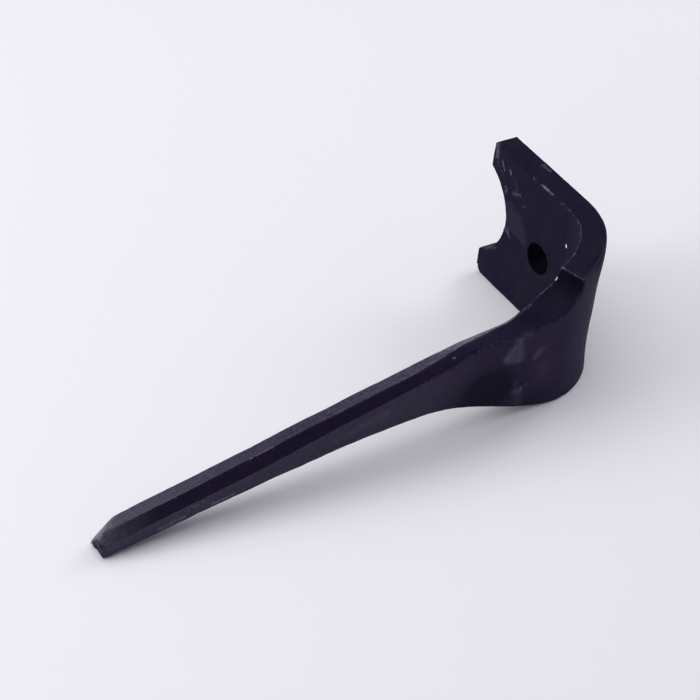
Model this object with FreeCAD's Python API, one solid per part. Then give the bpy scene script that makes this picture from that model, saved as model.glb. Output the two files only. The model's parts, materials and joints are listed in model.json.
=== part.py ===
import FreeCAD, Part
import math
import os
from FreeCAD import Vector

# Harrow tine: one forging from a flat steel bar. A flat head plate with one bolt hole and a round
# hub notch turns through a right angle into a long tapering blade with a roof-shaped cutting edge.
# The origin is the centre of the bolt hole on the mounting face, which looks along +X. The blade runs
# along -X, the open end of the head points along +Y, and +Z is up with the tine lying on its edge.

# Driving dimensions in millimetres
bar_thickness = 14.0
plate_width = 83.8
bolt_hole_diameter = 17.0
hole_to_lower_edge = 40.2
hole_to_blade_face = 62.2
hole_to_horn_end = 49.1
hole_to_lower_horn_end = 47.9
hub_notch_radius = 29.9
hub_notch_centre = 60.8
bend_inner_radius = 32.5
tine_length = 301.7
tip_thickness = 12.6
taper_start = 110.0
horn_corner_radius = 4.5
recess_radius = 19.3
recess_depth = 0.8
recess_centre = 29.8
recess_rise = -1.6
recess_straight_edge = -0.2
tip_slant_start = 293.1
tip_slant_height = 10.0

# Roundings and bevels of the forged edges
tip_rounding = 5.0
lower_rounding = 1.2
upper_outer_rounding = 0.6
upper_inner_rounding = 0.9
blade_rounding = 0.7
horn_rounding = 0.8
notch_bevel = 0.5
hole_bevel = 0.6

# The slanting facet on the upper horn: how far it runs back along the top, down the end and outwards
facet_back = 11.5
facet_down = 13.0
facet_in = 0.8

# Radius of the bend's outer side at heights above the lower edge: bending on edge has drawn its middle
# in and left both rims standing out
bend_outer_radii = [(0.0, 42.8), (9.0, 45.2), (26.0, 47.1), (44.0, 46.8), (61.0, 46.9), (75.0, 45.7),
                    (plate_width, 48.4)]

# How the head's upper edge falls to the step above the blade: distances from the mounting face and
# heights above the lower edge
fall_heights = [(15.0, plate_width), (27.0, 81.2), (40.0, 76.9), (60.0, 70.6)]

# How the lower edge leaves the bend and runs to the tip, written the same way
underside_heights = [(38.0, 0.0), (62.0, 3.8), (78.0, 9.5), (94.0, 15.5), (109.0, 19.6), (130.0, 21.2),
                     (168.0, 19.1), (240.0, 9.9), (301.7, 0.0), (330.0, -5.0)]

bend_radius = bend_inner_radius + bar_thickness
low = -hole_to_lower_edge
outer_face = -hole_to_blade_face
clear = 20.0


def point(reach, side, height):
    """A point given by its distance behind the mounting face, its distance in from the blade's
    outer face and its height above the lower edge."""
    return Vector(-reach, outer_face + side, low + height)


def line(a, b):
    return Part.LineSegment(a, b).toShape()


def curve(points, knots):
    """A smooth curve through the points, each reached at its own knot, so that two such curves on
    opposite faces can carry a ruled surface between matching points."""
    spline = Part.BSplineCurve()
    spline.interpolate(Points=points, Parameters=knots)
    return spline.toShape()


def bent_bar():
    """The flat bar bent on edge: its plan outline raised through the width of the plate, still with
    a square corner on the outer side of the bend."""
    centre = point(bend_radius, bend_radius, 0)
    half = math.sqrt(0.5) * bend_inner_radius
    end = tine_length + clear / 2
    horn = Vector(0, hole_to_horn_end, low)
    corner = point(0, 0, 0)
    blade_end = point(end, 0, 0)
    inner_end = point(end, tip_thickness, 0)
    taper = point(taper_start, bar_thickness, 0)
    bend_start = centre + Vector(0, -bend_inner_radius, 0)
    bend_middle = centre + Vector(half, -half, 0)
    bend_end = centre + Vector(bend_inner_radius, 0, 0)
    inner_horn = Vector(-bar_thickness, hole_to_horn_end, low)
    edges = [line(horn, corner), line(corner, blade_end), line(blade_end, inner_end), line(inner_end, taper),
             line(taper, bend_start), Part.Arc(bend_start, bend_middle, bend_end).toShape(),
             line(bend_end, inner_horn), line(inner_horn, horn)]
    return Part.Face(Part.Wire(edges)).extrude(Vector(0, 0, plate_width))


def outer_bend():
    """The cutter that rounds the bend's outer side, from arcs that meet both flat faces smoothly."""
    sections = []
    margin = 1.0
    outside = 5.0
    for height, radius in bend_outer_radii:
        level = -margin if height == 0.0 else height
        level = plate_width + margin if height == plate_width else level
        on_plate = point(0, radius, level)
        on_blade = point(radius, 0, level)
        inset = radius * (1 - math.sqrt(0.5))
        sections.append(Part.Wire([
            Part.Arc(on_plate, point(inset, inset, level), on_blade).toShape(),
            line(on_blade, point(radius, -outside, level)),
            line(point(radius, -outside, level), point(-outside, -outside, level)),
            line(point(-outside, -outside, level), point(-outside, radius, level)),
            line(point(-outside, radius, level), on_plate)]))
    return Part.makeLoft(sections, True, False)


def across_bar(heights, start_slope, end_slope, closing):
    """A cutter through the whole bar: a smooth curve through points of reach and height, whose slope
    is given at both ends, closed by a straight line at another height."""
    places = [point(reach, -clear, height) for reach, height in heights]
    profile = Part.BSplineCurve()
    profile.interpolate(Points=places, InitialTangent=start_slope, FinalTangent=end_slope)
    corners = [point(reach, -clear, closing) for reach, height in (heights[-1], heights[0])]
    path = [places[-1]] + corners + [places[0]]
    edges = [profile.toShape()] + [line(start, end) for start, end in zip(path[:-1], path[1:])]
    return Part.Face(Part.Wire(edges)).extrude(Vector(0, bend_radius + 2 * clear, 0))


def upper_edge_fall():
    """What is taken off the top of the bend, where the plate's upper edge falls to the step."""
    return across_bar(fall_heights, Vector(-20, 0, 0), Vector(-20, 0, -7), plate_width + clear)


def underside():
    """What is taken off below: the lower edge leaves the bend in a long S and then runs down to the
    tip with a slight hollow."""
    return across_bar(underside_heights, Vector(-30, 0, 0), Vector(-30, 0, -5), -clear)


def face_cutter(stations):
    """A cutter above one flank of the blade's top. Each station gives a reach on the outer and the
    inner face and the flank's height there, and straight lines across the bar join the two."""
    knots = [float(i) for i in range(len(stations))]
    wires = []
    for share in (-0.5, 1.5):
        points = [point(outer + (inner - outer) * share, bar_thickness * share,
                        outer_height + (inner_height - outer_height) * share)
                  for outer, inner, outer_height, inner_height in stations]
        flank = curve(points, knots)
        roof = low + plate_width + clear
        first, last = points[0], points[-1]
        above_first = Vector(first.x, first.y, roof)
        above_last = Vector(last.x, last.y, roof)
        wires.append(Part.Wire([line(above_first, first), flank, line(last, above_last),
                                line(above_last, above_first)]))
    return Part.makeLoft(wires, True, True)


def outer_flank():
    """The step, the shelf below it and the outer flank of the cutting edge, as one surface that
    turns from the shelf's slope through level to the flank's slope."""
    return face_cutter([
        (36.4, 40.0, 76.9, 76.6),
        (36.6, 43.2, 70.1, 69.6),
        (41.5, 51.0, 61.2, 64.0),
        (52.0, 60.0, 55.8, 57.6),
        (66.0, 68.0, 54.7, 55.4),
        (82.0, 82.0, 54.6, 52.4),
        (98.0, 98.0, 52.7, 53.6),
        (116.0, 116.0, 47.1, 54.8),
        (140.0, 140.0, 41.5, 54.4),
        (182.0, 182.0, 32.2, 46.4),
        (215.0, 215.0, 24.4, 38.7),
        (250.0, 250.0, 17.7, 32.2),
        (320.0, 320.0, 4.4, 18.8),
    ])


def inner_flank():
    """The inner flank of the cutting edge, which starts where the shelf ends and leans towards the
    plate's side."""
    return face_cutter([
        (50.0, 50.0, 78.6, 68.6),
        (63.2, 63.2, 67.2, 56.4),
        (72.6, 72.6, 62.3, 52.1),
        (85.5, 85.5, 59.9, 50.7),
        (99.0, 99.0, 58.2, 49.4),
        (112.0, 112.0, 53.6, 47.2),
        (130.0, 130.0, 49.3, 43.7),
        (150.0, 150.0, 45.0, 39.9),
        (184.0, 184.0, 37.8, 33.5),
        (215.0, 215.0, 30.6, 27.1),
        (253.0, 253.0, 22.7, 19.7),
        (320.0, 320.0, 9.9, 7.4),
    ])


def notch_and_hole():
    """The round notch that clears the rotor hub, and the bolt hole."""
    through = 3 * clear
    middle = low + plate_width / 2
    notch = Part.makeCylinder(hub_notch_radius, through, Vector(-2 * clear, hub_notch_centre, middle),
                              Vector(1, 0, 0))
    hole = Part.makeCylinder(bolt_hole_diameter / 2, through, Vector(-2 * clear, 0, 0), Vector(1, 0, 0))
    return notch.fuse(hole)


def sheared_end():
    """What is sheared off the open end of the head, which leans in a little towards the lower horn."""
    top = low + plate_width
    start = Vector(-2 * clear, hole_to_horn_end, top)
    corners = [start, Vector(-2 * clear, hole_to_lower_horn_end, low), Vector(-2 * clear, hole_to_horn_end, low)]
    return Part.Face(Part.makePolygon(corners + [start])).extrude(Vector(3 * clear, 0, 0))


def lower_horn_corner():
    """What is rounded off the lower horn's corner."""
    radius = horn_corner_radius
    end = hole_to_lower_horn_end
    block = Part.makeBox(3 * clear, 2 * radius, 2 * radius, Vector(-2 * clear, end - radius, low - radius))
    kept = Part.makeCylinder(radius, 3 * clear, Vector(-2 * clear, end - radius, low + radius), Vector(1, 0, 0))
    return block.cut(kept)


def upper_horn_facet():
    """What is knocked off the inner corner of the upper horn, down to a small slanting facet."""
    end = hole_to_horn_end
    top = low + plate_width
    inner = -bar_thickness
    corners = [Vector(inner, end - facet_back, top), Vector(inner, end, top - facet_down),
               Vector(inner + facet_in, end, top)]
    middle = (corners[0] + corners[1] + corners[2]) * (1.0 / 3)
    wide = [middle + (corner - middle) * 3 for corner in corners]
    facet = Part.Face(Part.makePolygon(wide + [wide[0]]))
    return facet.extrude(Vector(-12, 4, 4))


def recess():
    """The shallow dished recess between the hub notch and the bolt hole on the inner face: half a
    round, closed below by a straight edge."""
    radius = (recess_radius ** 2 + recess_depth ** 2) / (2 * recess_depth)
    centre = Vector(-bar_thickness + recess_depth - radius, recess_centre, recess_rise)
    ball = Part.makeSphere(radius, centre)
    ball.rotate(centre, Vector(0, 0, 1), 180)
    keep = Part.makeBox(clear, 3 * clear, 2 * clear,
                        Vector(-bar_thickness - clear / 2, recess_centre - clear, recess_straight_edge))
    return ball.common(keep)


def tip_cuts():
    """The tip is sheared off square and its upper inner corner is cut away on a slant."""
    size = 3 * clear
    square = Part.makeBox(size, size, size, point(tine_length + size, -clear, -clear))
    slant = FreeCAD.Rotation(Vector(0, 0, 1), Vector(-0.5, 0.71, 0.5))
    corner = Part.makeBox(size, size, size, Vector(-size / 2, -size / 2, 0))
    corner.Placement = FreeCAD.Placement(point(tip_slant_start, tip_thickness, tip_slant_height), slant)
    return square.fuse(corner)


def edge_at(shape, place):
    """The edge of the shape that passes nearest to a place."""
    return min(shape.Edges, key=lambda edge: edge.distToShape(Part.Vertex(place))[0])


def sharp_tine():
    """The tine with every edge still sharp."""
    blank = bent_bar()
    for cutter in (outer_bend(), upper_edge_fall(), underside(), outer_flank(), inner_flank(),
                   notch_and_hole(), sheared_end(), lower_horn_corner(), tip_cuts()):
        blank = blank.cut(cutter)
    return blank.removeSplitter()


def tine():
    """The tine with its forged edges rounded, the notch and the inner end of the hole bevelled, and
    its worn horn and its recess cut. Each rounding or bevel also takes in the edges that run on
    smoothly from the one that is named by a place on it."""
    body = sharp_tine()
    top = low + plate_width
    for radius, place in (
            (tip_rounding, point(tine_length - 5, 9, 11.9)),
            (lower_rounding, Vector(0, 10, low)),
            (lower_rounding, Vector(-bar_thickness, 10, low)),
            (upper_outer_rounding, Vector(0, 10, top)),
            (upper_inner_rounding, Vector(-bar_thickness, 10, top)),
            (blade_rounding, point(150, 0, 38)),
            (blade_rounding, point(80, bar_thickness, 51)),
            (horn_rounding, Vector(0, hole_to_horn_end, top - 7))):
        body = body.makeFillet(radius, [edge_at(body, place)])
    notch_mouth = Vector(-bar_thickness / 2, hole_to_horn_end, top - 13)
    hole_rim = Vector(-bar_thickness, bolt_hole_diameter / 2, 0)
    for size, place in ((notch_bevel, notch_mouth), (hole_bevel, hole_rim)):
        body = body.makeChamfer(size, [edge_at(body, place)])
    return body.cut(upper_horn_facet()).cut(recess())


os.makedirs("parts", exist_ok=True)
solid = tine().Solids[0]
solid.exportStep("parts/tine.step")
print("volume", round(solid.Volume), "valid", solid.isValid(), "faces", len(solid.Faces), solid.BoundBox)
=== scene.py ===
"""The looks of the harrow tine: the CAD solid's surface drawn finer, a scuffed dark paint, a pale floor
and soft studio light, seen as in the reference photograph. Lengths are in metres."""
import json
import math
import bpy
import numpy as np
from mathutils import Matrix, Vector

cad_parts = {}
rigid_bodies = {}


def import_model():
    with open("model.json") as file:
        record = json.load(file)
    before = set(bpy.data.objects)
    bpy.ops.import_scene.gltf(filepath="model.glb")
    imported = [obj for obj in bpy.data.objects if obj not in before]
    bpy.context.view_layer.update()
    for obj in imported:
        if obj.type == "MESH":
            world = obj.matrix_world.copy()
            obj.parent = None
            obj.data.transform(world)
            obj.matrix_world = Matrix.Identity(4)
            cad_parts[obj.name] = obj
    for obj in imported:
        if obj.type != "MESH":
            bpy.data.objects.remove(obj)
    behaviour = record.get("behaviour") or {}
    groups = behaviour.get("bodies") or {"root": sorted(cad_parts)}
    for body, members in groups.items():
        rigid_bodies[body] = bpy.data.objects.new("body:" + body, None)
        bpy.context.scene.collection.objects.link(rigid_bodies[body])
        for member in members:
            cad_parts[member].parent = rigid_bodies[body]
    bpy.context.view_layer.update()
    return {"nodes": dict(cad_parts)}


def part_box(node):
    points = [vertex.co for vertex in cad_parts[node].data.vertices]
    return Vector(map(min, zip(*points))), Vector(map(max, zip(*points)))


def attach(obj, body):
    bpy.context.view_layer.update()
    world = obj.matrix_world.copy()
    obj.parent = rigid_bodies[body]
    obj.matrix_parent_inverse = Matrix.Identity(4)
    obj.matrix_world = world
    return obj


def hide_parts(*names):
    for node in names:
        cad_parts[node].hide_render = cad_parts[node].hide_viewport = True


for leftover in list(bpy.data.objects):
    bpy.data.objects.remove(leftover)
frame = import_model()

MM = 0.001

# The photograph's camera: its width and its lens in pixels, and the sensor width that Blender works with
PHOTO_WIDTH = 700
PHOTO_LENS = 2287.26
SENSOR = 36.0


# Places on the tine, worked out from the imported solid's box
LOW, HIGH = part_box("tine")
FLOOR = LOW.z


# The surface

# The longest sides wanted in the finer surface: where a stroke or a dent marks it, along edges, and elsewhere
SHORT_SIDE = 0.8 * MM
EDGE_SIDE = 1.4 * MM
LONG_SIDE = 3.5 * MM

# The forged unevenness: the height, the wavelength in millimetres and the seed of each layer of waves
UNEVEN = ((0.10, 38, 3), (0.05, 11, 5), (0.03, 5, 8))

# How far edges are worn down where they are worn most, in millimetres
EDGE_WEAR = 0.12


def merged(mesh):
    """The mesh's points with doubles merged, and its triangles as rows of point numbers."""
    mesh.calc_loop_triangles()
    points = np.empty(len(mesh.vertices) * 3)
    mesh.vertices.foreach_get("co", points)
    corners = np.empty(len(mesh.loop_triangles) * 3, int)
    mesh.loop_triangles.foreach_get("vertices", corners)
    keys = np.round(points.reshape(-1, 3) / 1e-6).astype(np.int64)
    unique, index = np.unique(keys, axis=0, return_inverse=True)
    triangles = index.reshape(-1)[corners].reshape(-1, 3)
    whole = (triangles[:, 0] != triangles[:, 1]) & (triangles[:, 1] != triangles[:, 2])
    whole &= triangles[:, 0] != triangles[:, 2]
    return unique * 1e-6, triangles[whole]


def halved(points, triangles, edges, owner, cut):
    """One round of cutting the marked sides at their middles: a triangle with one, two or three cut
    sides becomes two, three or four. Any further columns of the points are averaged as well."""
    middle = np.full(len(edges), -1)
    middle[cut] = len(points) + np.arange(cut.sum())
    points = np.vstack([points, points[edges[cut]].mean(axis=1)])
    marks = middle[owner.reshape(-1, 3)]
    count = (marks >= 0).sum(axis=1)
    pieces = [triangles[count == 0]]
    for wanted in (1, 2, 3):
        chosen, mids = triangles[count == wanted], marks[count == wanted]
        first = {1: (mids >= 0).argmax(axis=1), 2: (mids < 0).argmax(axis=1) + 1, 3: np.zeros(len(mids), int)}
        order = (first[wanted][:, None] + np.arange(3)) % 3
        a, b, c = np.take_along_axis(chosen, order, axis=1).T
        ab, bc, ca = np.take_along_axis(mids, order, axis=1).T
        corners = {1: [(a, ab, c), (ab, b, c)],
                   2: [(ab, b, bc), (a, ab, bc), (a, bc, c)],
                   3: [(a, ab, ca), (ab, b, bc), (ca, bc, c), (ab, bc, ca)]}[wanted]
        pieces += [np.stack(corner, axis=1) for corner in corners]
    return points, np.vstack(pieces)


def finer(points, triangles, limit):
    """The same surface in smaller triangles: rounds of halving, until no side is longer than the
    limit that a function gives for the two ends of each side."""
    while True:
        sides = np.sort(triangles[:, [0, 1, 1, 2, 2, 0]].reshape(-1, 2), axis=1)
        edges, owner = np.unique(sides, axis=0, return_inverse=True)
        ends = points[edges]
        cut = np.linalg.norm(ends[:, 0, :3] - ends[:, 1, :3], axis=1) > limit(ends)
        if not cut.any():
            return points, triangles
        points, triangles = halved(points, triangles, edges, owner, cut)


def point_normals(points, triangles):
    """Each point's unit normal: the sum of its triangles' normals, each as long as its area."""
    a, b, c = (points[triangles[:, i]] for i in range(3))
    area = np.cross(b - a, c - a)
    total = np.zeros_like(points)
    for i in range(3):
        np.add.at(total, triangles[:, i], area)
    return total / np.maximum(np.linalg.norm(total, axis=1, keepdims=True), 1e-20)


class Neighbours:
    """The sides of a mesh taken both ways, for sums over the neighbours of each point."""

    def __init__(self, points, triangles):
        sides = np.unique(np.sort(triangles[:, [0, 1, 1, 2, 2, 0]].reshape(-1, 2), axis=1), axis=0)
        self.here, self.there = np.vstack([sides, sides[:, ::-1]]).T
        self.number = np.bincount(self.here, minlength=len(points))

    def mean(self, values):
        """The mean over the neighbours of a number on each side."""
        return np.bincount(self.here, weights=values, minlength=len(self.number)) / self.number

    def spread(self, values, rounds):
        """Each point's number averaged with its neighbours' mean, again and again."""
        for _ in range(rounds):
            values = (values + self.mean(values[self.there])) / 2
        return values

    def softened(self, points, share, rounds):
        """Points moved by a share of the way towards their neighbours' mean, again and again."""
        for _ in range(rounds):
            mean = np.stack([self.mean(column[self.there]) for column in points.T], axis=1)
            points = points + (mean - points) * share[:, None]
        return points

    def edge_strength(self, points, normals):
        """How sharply the surface turns away around each point: how far the point stands out from its
        neighbours along its normal, over the square of their distance in millimetres. That is 0 on
        flats and in inner corners and 1 on outer edges of a quarter turn or so."""
        gap = (points[self.here] - points[self.there]) / MM
        turn = self.mean(np.einsum("ij,ij->i", gap, normals[self.here]) / (gap ** 2).sum(axis=1))
        return np.clip(turn * 4, 0, 1)


def waves(points, length, seed):
    """A smooth unevenness of about plus or minus 1: the mean of eight sine waves in fixed random
    directions, with wavelengths near the given one."""
    random = np.random.default_rng(seed)
    direction = random.normal(size=(8, 3))
    direction /= np.linalg.norm(direction, axis=1, keepdims=True)
    stretch = random.uniform(0.7, 1.4, 8)
    phase = random.uniform(0, 2 * math.pi, 8)
    angle = points @ direction.T * (2 * math.pi / length) * stretch + phase
    return np.sin(angle).mean(axis=1) * 2


# Dents as a place, a radius and a depth, in millimetres
DENTS = (
    ((-65.1, -62.2, -19.3), 1.8, 0.5),
    ((-64.7, -62.2, -22.6), 1.4, 0.3),
    ((-68.0, -62.2, -20.5), 1.6, 0.25),
    ((-116.5, -62.2, -7.6), 1.6, 0.4),
    ((-301.7, -60.6, -32.9), 1.6, 0.9),
    ((-301.7, -56.6, -37.8), 3.0, 1.2),
    ((-252.0, -62.2, -30.5), 2.6, 0.25),
    ((-262.0, -61.8, -31.5), 2.2, 0.25),
    ((-232.0, -60.8, -28.6), 2.4, 0.25),
    ((-152.0, -53.0, 3.4), 2.0, 0.25),
)

# Soft pale smears on the front, and a pale band along the blade's inner edge that is painted sheen widening
# the lit back flank: as points along a stroke, its half width at each end and a strength
SMUDGES_AND_SHEEN = (
    (((-71.6, -62.2, 9.9), (-70.2, -62.2, 3.4), (-69.6, -62.2, -0.8)), 2.3, 3.0, 0.31),
    (((-78.0, -62.2, 0.6), (-75.6, -62.2, 3.9), (-73.0, -62.2, 7.0)), 1.9, 2.2, 0.40),
    (((-77.8, -62.2, -0.2), (-69.0, -62.2, -2.6)), 1.9, 1.7, 0.34),
    (((-74.6, -62.2, 2.4), (-71.6, -62.2, 1.0)), 2.8, 2.8, 0.31),
    (((-77.8, -62.2, 0.4), (-77.2, -62.2, 1.9)), 1.2, 1.2, 0.50),
    (((-74.8, -62.2, 12.4), (-70.0, -62.2, 10.8)), 0.9, 1.4, 0.30),
    (((-69.9, -62.2, 14.0), (-65.0, -62.2, 12.2)), 1.2, 1.6, 0.12),
    (((-59.2, -62.2, -3.9), (-57.4, -62.2, -1.8)), 1.9, 2.6, 0.26),
    (((-57.4, -62.2, 0.4), (-54.4, -61.8, -0.4)), 1.6, 1.6, 0.14),
    (((-65.2, -62.2, -22.6), (-65.0, -62.2, -23.8)), 0.9, 0.9, 0.5),
    (((-69.1, -62.2, -23.2), (-66.0, -62.2, -24.4)), 1.8, 1.8, 0.28),
    (((-69.3, -62.2, -18.4), (-68.3, -62.2, -17.4)), 1.0, 1.0, 0.14),
    (((-62.6, -62.2, -20.0), (-62.0, -62.2, -21.6)), 1.2, 1.2, 0.08),
    (((-66.6, -62.2, -26.2), (-65.6, -62.2, -34.0)), 2.6, 2.8, 0.15),
    (((-53.6, -61.8, -12.6), (-52.0, -61.6, -16.0)), 5.0, 5.0, 0.07),
    (((-176.0, -62.2, -15.0), (-160.0, -62.2, -10.6), (-148.0, -62.2, -8.4)), 2.0, 3.0, 0.10),
    # Painted sheen: a pale band along the blade's inner edge that widens the lit back flank
    (((-105.0, -53.6, 10.9), (-96.0, -53.7, 12.9), (-88.0, -52.2, 13.1), (-80.0, -50.4, 13.2),
      (-68.0, -49.3, 14.6), (-57.0, -48.9, 19.0)), 1.1, 0.6, 0.30),
)

# Places worn pale and speckled, and a painted highlight along the plate's inner top edge, written the same
# way: on the blade and on the head
SCUFFS_AND_HIGHLIGHTS = (
    (((-109.2, -58.9, 10.4), (-108.6, -58.9, 10.4)), 0.6, 0.6, 0.7),
    (((-168.0, -62.2, -12.6), (-150.0, -62.2, -9.4)), 1.2, 1.8, 0.16),
    (((-271.6, -62.2, -32.5), (-265.2, -62.2, -31.4), (-259.0, -62.2, -30.2)), 1.5, 1.0, 0.52),
    (((-243.8, -62.2, -28.2), (-237.5, -62.2, -27.4), (-231.7, -62.2, -26.4)), 1.4, 0.8, 0.5),
    (((-258.0, -62.2, -26.0), (-249.0, -62.2, -24.8)), 1.2, 1.0, 0.4),
    (((-13.4, 47.6, 42.8), (-13.9, 45.4, 36.6)), 2.1, 1.7, 0.52),
    (((-13.4, 46.6, 41.0), (-13.9, 44.2, 39.4)), 1.3, 1.1, 0.4),
    (((-14.0, 40.6, 37.0), (-14.0, 39.0, 34.6)), 1.1, 0.9, 0.5),
    (((-14.0, 38.4, 34.0), (-14.0, 37.6, 33.0)), 0.8, 0.8, 0.6),
    (((-14.0, 35.2, 36.6), (-14.0, 34.2, 35.6)), 0.9, 0.7, 0.4),
    (((-14.0, 33.2, 35.6), (-14.0, 32.2, 33.8)), 0.6, 0.7, 0.7),
    (((-14.0, 27.2, 32.4), (-14.0, 25.2, 28.4)), 1.3, 1.7, 0.24),
    (((-14.0, 28.0, 23.9), (-14.0, 25.2, 25.6), (-14.0, 22.0, 27.0)), 1.3, 1.0, 0.46),
    (((-14.0, 25.6, 26.4), (-14.0, 24.6, 24.4)), 1.4, 1.0, 0.36),
    (((-14.0, 33.7, 23.8), (-14.0, 33.2, 21.8)), 1.2, 1.1, 0.5),
    (((-14.0, 28.8, 0.2), (-14.0, 25.4, -2.0)), 1.6, 1.4, 0.5),
    (((-14.0, 17.6, 22.6), (-14.0, 17.4, 22.0)), 0.8, 0.7, 0.4),
    (((-13.6, 44.0, -23.2), (-14.0, 34.0, -15.6)), 1.0, 1.0, 0.35),
    (((-7.0, 44.5, -23.5), (-7.0, 36.0, -15.8)), 4.5, 4.5, 0.22),
    # Painted highlights along the plate's inner top edge
    (((-13.8, 14.6, 43.0), (-13.8, 12.8, 43.0)), 0.6, 0.6, 0.42),
    (((-13.8, 7.8, 43.2), (-13.8, -2.4, 43.2)), 0.7, 0.9, 0.62),
    (((-13.8, 5.6, 43.2), (-13.8, 1.6, 43.2)), 0.7, 0.8, 0.95),
    (((-3.2, 20.6, 43.6), (-2.6, 14.2, 43.6)), 1.9, 1.6, 0.4),
    (((-37.2, -61.6, 10.0), (-39.0, -61.8, 9.0)), 0.7, 0.7, 0.3),
)

# Chips down to bright steel at the inner bend, and a painted glint on the step's inner edge, written the same
# way
CHIPS_AND_GLINT = (
    (((-14.3, -20.2, 23.3), (-14.4, -20.6, 22.2)), 0.55, 0.65, 1.0),
    # Painted glint on the step's inner edge
    (((-42.2, -48.2, 31.0), (-43.0, -48.2, 29.6)), 0.5, 0.6, 1.0),
)

# Lines along which the edges are painted brighter than elsewhere: partly worn paint, partly painted
# highlights on edge rims; written the same way
RUBBED_AND_HIGHLIT = (
    (((-14.0, -10.2, 43.0), (-14.4, -19.0, 43.4), (-17.7, -31.5, 43.3), (-24.0, -39.5, 41.6),
      (-32.0, -45.5, 39.6), (-40.0, -48.3, 36.4)), 1.2, 1.3, 0.30),
    (((-40.0, -48.3, 36.4), (-39.4, -51.0, 36.5)), 0.6, 0.5, 0.45),
    (((-39.2, -51.4, 36.5), (-37.8, -56.7, 36.6), (-36.6, -61.4, 36.6)), 0.5, 0.5, 0.4),
    (((-40.0, -48.2, 36.4), (-43.2, -48.2, 29.4), (-51.0, -48.2, 23.8)), 0.6, 0.5, 0.75),
    (((-51.0, -48.2, 23.8), (-60.0, -48.2, 17.6), (-70.0, -48.2, 14.9), (-84.0, -48.2, 11.8)), 0.5, 0.6, 0.5),
    (((-141.0, -57.6, 4.6), (-104.0, -54.6, 11.4), (-84.0, -51.6, 12.8)), 0.5, 0.5, 0.55),
    (((-222.0, -57.2, -12.6), (-206.0, -57.1, -9.0)), 0.5, 0.5, 0.6),
    (((-268.0, -57.6, -22.0), (-254.0, -57.6, -19.2)), 0.5, 0.5, 0.5),
    (((-14.0, 47.5, 36.0), (-14.0, 36.0, 28.0), (-14.0, 31.6, 8.0), (-14.0, 33.0, -8.0),
      (-14.0, 38.0, -17.0)), 0.6, 0.6, 0.3),
)

# Places painted darker: painted shade on the lower part of the front face, on the shelf and below the bend's
# rim, and dark spots at dents, by the chipped spot at the inner bend and on the tip; each as a place, radii
# and a strength
SHADED = (
    ((-65.1, -62.2, -19.3), (1.4, 2.0, 1.6), 1.0),
    ((-87.0, -62.2, -17.5), (15.0, 8.0, 12.5), 2.0),
    ((-64.0, -62.2, -34.0), (16.0, 8.0, 8.0), 0.5),
    ((-76.2, -62.2, -6.0), (3.5, 3.0, 2.4), 0.5),
    ((-23.0, -56.0, 40.3), (7.0, 4.5, 4.2), 1.0),
    ((-63.0, -55.0, 15.0), (9.0, 5.5, 6.0), 0.6),
    ((-14.1, -18.0, 24.4), (1.0, 1.0, 0.9), 0.9),
    ((-301.7, -60.6, -32.9), (1.4, 1.7, 1.7), 1.0),
)

# Where edges are worn soft: a place, radii and the share of the softening
SOFT = (
    ((-92.0, -62.2, 13.5), (34.0, 6.0, 9.0), 0.55),
    ((-301.7, -56.0, -30.0), (7.0, 12.0, 14.0), 0.4),
    ((-25.0, -39.0, 42.0), (8.0, 8.0, 4.0), 0.5),
)


def stroked(points, strokes, spare=0.0):
    """How strongly strokes mark each point: 1 at a stroke's middle line and a bell over the distance
    from it, measured in the stroke's half width there plus any spare width. The strongest counts."""
    total = np.zeros(len(points))
    for path, width_start, width_end, strength in strokes:
        path = np.array(path) * MM
        steps = len(path) - 1
        for number in range(steps):
            start, line = path[number], path[number + 1] - path[number]
            along = np.clip((points - start) @ line / (line @ line), 0, 1)
            away = np.linalg.norm(points - start - along[:, None] * line, axis=1)
            width = width_start + (width_end - width_start) * (number + along) / steps + spare
            total = np.maximum(total, strength * np.exp(-(away / (width * MM)) ** 2))
    return total


def bells(points, marks):
    """The largest of several bells at each point: each falls with the distance from its centre,
    measured in its own radii."""
    total = np.zeros(len(points))
    for centre, radii, strength in marks:
        away = np.linalg.norm((points / MM - np.array(centre)) / np.array(radii), axis=1)
        total = np.maximum(total, strength * np.exp(-away ** 2))
    return total


def gloss(points, normals):
    """How much satin coat is left: nearly all of it on the back flank, more and more towards the tip on
    the face that looks to the front, some at the tip, little on the outside of the head and the bend,
    and none on the dull inside of the head."""
    x, y, z = points.T / MM
    blade = np.clip((-90 - x) / 40, 0, 1) * 0.27 + np.clip((-170 - x) / 80, 0, 1) * 0.18
    back_flank = np.clip((normals[:, 1] - 0.15) / 0.15, 0, 1) * np.clip((-25 - x) / 20, 0, 1)
    front = np.clip((-normals[:, 1] - 0.80) / 0.15, 0, 1) * (0.15 + blade)
    bend = np.clip((normals[:, 0] + 0.2) / 0.3, 0, 1) * np.clip((34 - z) / 12, 0, 1) * 0.14
    tip = np.clip((-285 - x) / 15, 0, 1) * 0.3
    return np.maximum.reduce([back_flank * 0.95, front, bend, tip])


def outward_sheen(normals):
    """1 on the outer side of the bend and the front of the blade, which get a lighter violet as painted
    sheen.
    """
    return np.clip((0.5 * normals[:, 0] - 0.87 * normals[:, 1] - 0.6) / 0.2, 0, 1)


def reddish(points, normals):
    """1 on what faces to the front beyond the bend, where the paint has a redder tone, and 0 elsewhere."""
    return np.clip((-normals[:, 1] - 0.2) / 0.3, 0, 1) * np.clip((-45 - points[:, 0] / MM) / 25, 0, 1)


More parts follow.
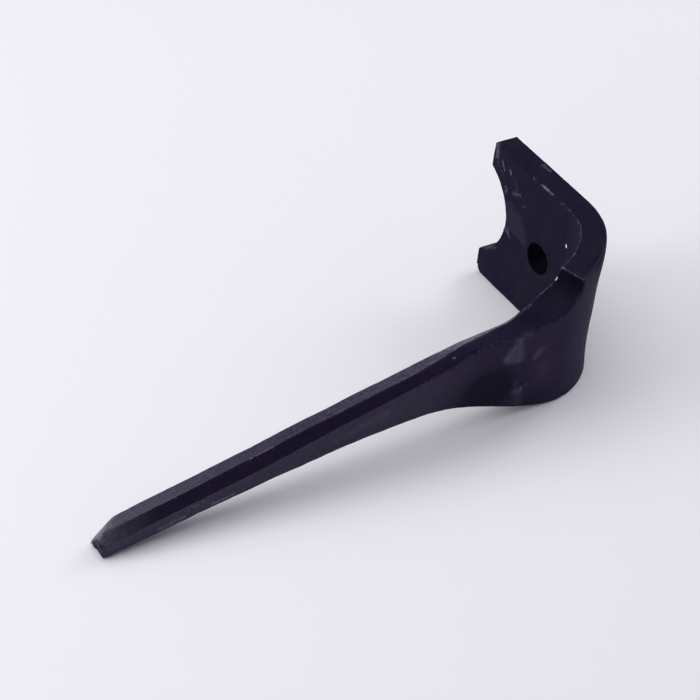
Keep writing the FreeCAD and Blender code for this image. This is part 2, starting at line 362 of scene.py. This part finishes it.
def dusted(points, normals):
    """How much pale dust lies on the blade: more and more of it on the back flank towards the tip, and
    on the front flank only close to the tip."""
    x = points[:, 0] / MM
    up = np.clip((normals[:, 2] - 0.3) / 0.3, 0, 1)
    back = np.clip((normals[:, 1] + 0.1) / 0.2, 0, 1) * np.clip((-185 - x) / 105, 0, 1)
    return up * np.maximum(back, np.clip((-272 - x) / 26, 0, 1) * 0.75)


def in_recess(points):
    """1 on the plate's inner face within a half circle around the recess's centre, and 0 outside it, with
    a soft border."""
    x, y, z = points.T / MM
    inner_face, centre, radius, floor = -14, (29.8, -1.6), 20.3, -0.7
    away = np.hypot(y - centre[0], z - centre[1])
    return np.clip((radius - away) / 2, 0, 1) * np.clip((z - floor) / 1.2, 0, 1) * (abs(x - inner_face) < 1.5)


def shaded_undersides(normals):
    """1 on what faces down, which is painted darker as shade from the shadowed floor below, and 0 on what
    faces aside or up.
    """
    return np.clip((-0.08 - normals[:, 2]) / 0.25, 0, 1)


def painted_hollow_shade(points):
    """Painted shade: 1 inside the bolt hole and up to 0.9 below the step on the upper edge, where hardly any
    light comes, and 0 elsewhere."""
    x, y, z = points.T / MM
    hole_radius, hole_end = 8.9, -13.7
    hole = (np.hypot(y, z) < hole_radius) & (x > hole_end)
    step = np.clip((36.2 - z) / 1.0, 0, 1) * np.clip((z - 22.0) / 9, 0, 1) * (x < -35) * (x > -52)
    return np.maximum(hole, 0.9 * step * (y > -61.8) * (y < -48.0))


def spacing(ends):
    """The longest side wanted between two ends: short where a stroke marks the surface, middling along
    edges and long elsewhere."""
    marks, edges = ends[:, :, 3].max(axis=1), ends[:, :, 4].max(axis=1)
    return np.select([marks > 0.15, edges > 0.3], [SHORT_SIDE, EDGE_SIDE], LONG_SIDE)


def forged_surface():
    """The tine as forged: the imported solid's surface, slightly uneven, with its dents and soft edges.
    Each point carries what the paint needs to know about it."""
    points, triangles = merged(frame["nodes"]["tine"].data)
    points, triangles = finer(points, triangles, lambda ends: LONG_SIDE)
    edge = Neighbours(points, triangles).edge_strength(points, point_normals(points, triangles))
    marks = stroked(points, SMUDGES_AND_SHEEN + SCUFFS_AND_HIGHLIGHTS + CHIPS_AND_GLINT + RUBBED_AND_HIGHLIT, 0.7)
    dented = [(place, (radius + 0.6,) * 3, 1.0) for place, radius, depth in DENTS]
    marks = np.maximum(marks, bells(points, dented))
    noted, triangles = finer(np.column_stack([points, marks, edge]), triangles, spacing)
    points = noted[:, :3]
    around = Neighbours(points, triangles)
    points = around.softened(points, bells(points, SOFT), 40)
    normals = point_normals(points, triangles)
    edge = around.spread(around.edge_strength(points, normals), 1)
    push = sum(height * waves(points, length * MM, seed) for height, length, seed in UNEVEN)
    push -= EDGE_WEAR * edge * (1 + waves(points, 7 * MM, 9)) / 2
    for place, radius, depth in DENTS:
        push -= bells(points, [(place, (radius, radius, radius), depth)])
    # Painted shade: darker at the places listed as shaded and on what faces down
    shade = np.minimum(np.maximum(bells(points, SHADED), shaded_undersides(normals)), 0.85)
    carried = {"edge": edge, "smudged_and_sheen": stroked(points, SMUDGES_AND_SHEEN), "pale": stroked(points, SCUFFS_AND_HIGHLIGHTS),
               "bare_and_glint": stroked(points, CHIPS_AND_GLINT), "rubbed_and_highlit": stroked(points, RUBBED_AND_HIGHLIT), "shade": shade,
               "reddish": reddish(points, normals), "outward_sheen": outward_sheen(normals),
               "gloss": gloss(points, normals), "dusted": dusted(points, normals),
               "recess": in_recess(points), "painted_hollow_shade": painted_hollow_shade(points)}
    points = np.clip(points + normals * push[:, None] * MM, LOW, HIGH)
    mesh = bpy.data.meshes.new("tine_forged")
    mesh.from_pydata(points.tolist(), [], triangles.tolist())
    for name, values in carried.items():
        mesh.attributes.new(name, "FLOAT", "POINT").data.foreach_set("value", values.astype(np.float32))
    mesh.shade_smooth()
    made = bpy.data.objects.new("tine_forged", mesh)
    bpy.context.scene.collection.objects.link(made)
    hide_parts("tine")
    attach(made, "root")
    return made


# The paint

class Value:
    """A shader socket that takes part in Python arithmetic: each operator adds one Math node."""

    def __init__(self, finish, socket):
        self.finish = finish
        self.socket = socket

    def math(self, operation, first, second):
        return self.finish.node("ShaderNodeMath", {"operation": operation}, {0: first, 1: second})

    def __add__(self, other):
        return self.math("ADD", self, other)

    def __sub__(self, other):
        return self.math("SUBTRACT", self, other)

    def __rsub__(self, other):
        return self.math("SUBTRACT", other, self)

    def __mul__(self, other):
        return self.math("MULTIPLY", self, other)

    __radd__ = __add__
    __rmul__ = __mul__

    def limited(self):
        """The same number kept between 0 and 1."""
        return self.finish.node("ShaderNodeClamp", {}, {"Value": self})

    def ramp(self, start, end):
        """0 at the start and 1 at the end with a soft passage between, also where the end is lower."""
        return self.finish.node("ShaderNodeMapRange", {"interpolation_type": "SMOOTHSTEP"},
                                {"Value": self, "From Min": start, "From Max": end})


class Finish:
    """A material and the nodes that work it out."""

    def __init__(self, name):
        self.material = bpy.data.materials.new(name)
        self.material.use_nodes = True
        self.tree = self.material.node_tree
        self.tree.nodes.clear()
        self.place = self.node("ShaderNodeTexCoord", {}, {}, "Object")

    def node(self, kind, settings, inputs, output=0):
        """Adds a node of any kind, sets it up, sets or joins its sockets and gives one output."""
        made = self.tree.nodes.new(kind)
        for name, value in settings.items():
            setattr(made, name, value)
        for key, value in inputs.items():
            if isinstance(value, Value):
                self.tree.links.new(value.socket, made.inputs[key])
            else:
                made.inputs[key].default_value = value
        return Value(self, made.outputs[output]) if made.outputs else made

    def colours(self, share, first, second):
        """One colour passing into another as the share goes from 0 to 1."""
        return self.node("ShaderNodeMix", {"data_type": "RGBA"}, {0: share, 6: first, 7: second}, 2)

    def attribute(self, name):
        """A number that the surface carries at its points."""
        return self.node("ShaderNodeAttribute", {"attribute_name": name}, {}, "Fac")

    def noise(self, size, detail, roughness=0.5):
        """An unevenness of about 0 to 1 whose largest patches are about a size in metres."""
        return self.node("ShaderNodeTexNoise", {}, {"Vector": self.place, "Scale": 1 / size, "Detail": detail,
                                                    "Roughness": roughness})


# Linear colours of the paint, of what lies on it or under it, and of painted shade
VIOLET = (0.0178, 0.0115, 0.0400, 1.0)
BLUE_BLACK = (0.0070, 0.0062, 0.0195, 1.0)
BROWN_BLACK = (0.0115, 0.0072, 0.0175, 1.0)
FADED = (0.0135, 0.0120, 0.0250, 1.0)
RECESS = (0.0200, 0.0160, 0.0300, 1.0)
DUSTY = (0.0500, 0.0460, 0.0620, 1.0)
DUST = (0.0620, 0.0570, 0.0840, 1.0)
PLUM = (0.0125, 0.0072, 0.0215, 1.0)
# Dark pits in the paint's grain, and also the colour of painted shade
PIT_AND_SHADE = (0.0035, 0.0030, 0.0090, 1.0)
PALE = (0.1500, 0.1330, 0.1800, 1.0)
STEEL = (0.7000, 0.6900, 0.7200, 1.0)
# Painted shade inside the bolt hole and below the step
HOLLOW_SHADE = (0.0008, 0.0005, 0.0040, 1.0)


def paint():
    """Satin blue-black paint over forged steel: mottled violet and brown, dusted, worn pale along its edges
    with painted highlights on some of them, marked pale and chipped at places, with a fine sandy surface.
    Painted sheen lightens what faces to the front and right, and painted shade darkens the bolt hole, the
    place below the step, parts of the head's front and what faces down."""
    finish = Finish("dark_paint")
    edge = finish.attribute("edge")
    pale = finish.attribute("pale")
    gloss_left = finish.attribute("gloss")
    shade = finish.attribute("shade")
    broad = finish.noise(30 * MM, 3.0)
    cloudy = finish.noise(14 * MM, 4.0, 0.55)
    fine = finish.noise(2.4 * MM, 4.0, 0.65)
    grain = finish.noise(1.0 * MM, 2.0, 0.7)

    colour = finish.colours(broad.ramp(0.42, 0.64) * 0.55, BLUE_BLACK, BROWN_BLACK)
    colour = finish.colours(cloudy.ramp(0.38, 0.72) * 0.45, colour, FADED)
    colour = finish.colours(gloss_left.ramp(0.0, 0.6) * 0.45, colour, VIOLET)
    colour = finish.colours(finish.attribute("reddish") * (0.35 + broad * 0.5), colour, PLUM)
    # Painted sheen: faces turned to the front and right made a lighter violet, standing in for the pale
    # floor's reflection
    colour = finish.colours(finish.attribute("outward_sheen") * (0.6 + cloudy * 0.5), colour, VIOLET)
    colour = finish.colours(finish.attribute("recess") * (0.3 + fine), colour, RECESS)
    colour = finish.colours(finish.attribute("dusted") * (0.35 + fine), colour, DUST)
    # Painted shade: the colour turns towards the dark pit colour where shade is marked
    colour = finish.colours(shade * 0.75, colour, PIT_AND_SHADE)
    dust = (fine * 0.6 + grain * 0.4).ramp(0.54, 0.74)
    colour = finish.colours(dust * (0.25 + gloss_left * 0.35), colour, DUSTY)
    colour = finish.colours((grain * 0.6 + fine * 0.4).ramp(0.45, 0.32) * 0.7, colour, PIT_AND_SHADE)

    ragged = (fine - 0.5) * 0.8 + (grain - 0.5) * 1.2
    worn = (edge + ragged).ramp(0.5, 1.0) * 0.2
    # Edges paler along lines: partly worn paint, partly painted highlights
    rubbed_and_highlit = finish.attribute("rubbed_and_highlit")
    lines = (rubbed_and_highlit + ragged).ramp(0.15, 0.75) * rubbed_and_highlit.ramp(0.0, 0.15) * 0.7
    # Pale scuff marks, and painted highlights along the plate's inner top edge
    scuffs_and_highlights = (pale + ragged * 0.9).ramp(0.08, 1.1) * pale.ramp(0.0, 0.25)
    # Pale smears on the front, and painted sheen along the blade's inner edge
    smudges_and_sheen = finish.attribute("smudged_and_sheen") * (0.45 + fine * 0.7 + grain * 0.4)
    scuffed_and_highlit = (scuffs_and_highlights + worn + lines + smudges_and_sheen).limited()
    colour = finish.colours(scuffed_and_highlit, colour, PALE)
    # Bright steel where paint is chipped away, and a painted glint on the step's inner edge
    chip_and_glint = (finish.attribute("bare_and_glint") + (grain - 0.5) * 0.5).ramp(0.4, 0.55)
    colour = finish.colours(chip_and_glint, colour, STEEL)
    # Painted shade inside the bolt hole and below the step
    painted_hollow_shade = finish.attribute("painted_hollow_shade")
    colour = finish.colours(painted_hollow_shade, colour, HOLLOW_SHADE)

    height = cloudy * 0.5 + fine * 0.35 + grain * 0.15
    bump = finish.node("ShaderNodeBump", {}, {"Strength": 0.45, "Distance": 0.6 * MM, "Height": height})
    speckled = (fine * 0.5 + grain.ramp(0.3, 0.7) * 0.8 - 0.65) * gloss_left.ramp(0.1, 0.7)
    coat = gloss_left * (0.6 + cloudy * 0.5 + speckled) * (1 - painted_hollow_shade) * (1 - shade * 0.9)
    shine = finish.node("ShaderNodeBsdfPrincipled", {}, {
        "Base Color": colour, "Roughness": 0.62 + cloudy * 0.16 + scuffed_and_highlit * 0.1, "Specular IOR Level": 0.04,
        "Coat Weight": coat, "Coat Roughness": 0.36, "Normal": bump})
    finish.node("ShaderNodeOutputMaterial", {}, {"Surface": shine})
    return finish.material


# The studio

def plane(name, centre, size, material):
    """A level square, such as a floor."""
    half = size / 2
    corners = [(-half, -half, 0), (half, -half, 0), (half, half, 0), (-half, half, 0)]
    mesh = bpy.data.meshes.new(name)
    mesh.from_pydata(corners, [], [(0, 1, 2, 3)])
    made = bpy.data.objects.new(name, mesh)
    made.location = centre
    mesh.materials.append(material)
    bpy.context.scene.collection.objects.link(made)
    return made


def pale_floor():
    """A wide dull floor below the tine, in a pale colour with a trace of violet."""
    material = bpy.data.materials.new("pale_floor")
    material.use_nodes = True
    shine = material.node_tree.nodes["Principled BSDF"]
    shine.inputs["Base Color"].default_value = (0.805, 0.800, 0.825, 1.0)
    shine.inputs["Roughness"].default_value = 0.9
    shine.inputs["Specular IOR Level"].default_value = 0.1
    return plane("floor", (-0.15, 0.0, FLOOR), 6.0, material)


def lamp(name, place, target, size, power):
    """A square softbox at a place, facing a target."""
    light = bpy.data.lights.new(name, "AREA")
    light.shape = "SQUARE"
    light.size = size
    light.energy = power
    made = bpy.data.objects.new(name, light)
    made.location = place
    made.rotation_euler = (Vector(target) - Vector(place)).to_track_quat("-Z", "Y").to_euler()
    bpy.context.scene.collection.objects.link(made)
    return made


def surroundings(level, horizon, reach):
    """A dim room whose walls are paler low down: the light falls from the horizon's level to the
    room's as the height angle's sine goes from 0 to the reach."""
    world = bpy.data.worlds.new("studio")
    bpy.context.scene.world = world
    world.use_nodes = True
    tree = world.node_tree
    direction = tree.nodes.new("ShaderNodeTexCoord")
    split = tree.nodes.new("ShaderNodeSeparateXYZ")
    fall = tree.nodes.new("ShaderNodeMapRange")
    fall.interpolation_type = "SMOOTHSTEP"
    fall.inputs["From Max"].default_value = reach
    fall.inputs["To Min"].default_value = horizon
    fall.inputs["To Max"].default_value = level
    tree.links.new(direction.outputs["Generated"], split.inputs[0])
    tree.links.new(split.outputs["Z"], fall.inputs["Value"])
    tree.links.new(fall.outputs[0], tree.nodes["Background"].inputs["Strength"])
    tree.nodes["Background"].inputs["Color"].default_value = (0.86, 0.81, 1.0, 1.0)


def camera():
    """The photograph's camera: its bearing and height in degrees, its tilt about its own line of
    sight, how far it stands from the aimed point and how far that point lies off the picture's
    middle, and its lens."""
    bearing, height, roll = (math.radians(angle) for angle in (-36.80, 39.02, 7.24))
    distance, aside, above = (length * MM for length in (1189.76, 109.92, 35.21))
    aimed = Vector((-14.5, -22.2, 0.4)) * MM
    flat = math.cos(height)
    back = Vector((math.sin(bearing) * flat, -math.cos(bearing) * flat, math.sin(height)))
    level = Vector((0, 0, 1)).cross(back).normalized()
    upright = back.cross(level)
    right = level * math.cos(roll) + upright * math.sin(roll)
    up = upright * math.cos(roll) - level * math.sin(roll)
    data = bpy.data.cameras.new("photo_camera")
    data.sensor_width = SENSOR
    data.lens = SENSOR * PHOTO_LENS / PHOTO_WIDTH
    made = bpy.data.objects.new("photo_camera", data)
    made.matrix_world = Matrix((right, up, back)).transposed().to_4x4()
    made.location = aimed + back * distance - right * aside - up * above
    bpy.context.scene.collection.objects.link(made)
    bpy.context.scene.camera = made


piece = forged_surface()
piece.data.materials.append(paint())
pale_floor()
lamp("top", (-0.50, 0.35, 1.25), (-0.15, 0.0, 0.0), 2.4, 20.3)
lamp("left", (-2.05, 0.50, 0.62), (-0.15, 0.0, 0.0), 0.9, 23.0)
lamp("right", (1.25, 0.25, 0.95), (-0.05, 0.0, 0.0), 0.8, 7.4)
surroundings(0.26, 0.7, 0.5)
camera()
bpy.context.scene.view_settings.view_transform = "Standard"
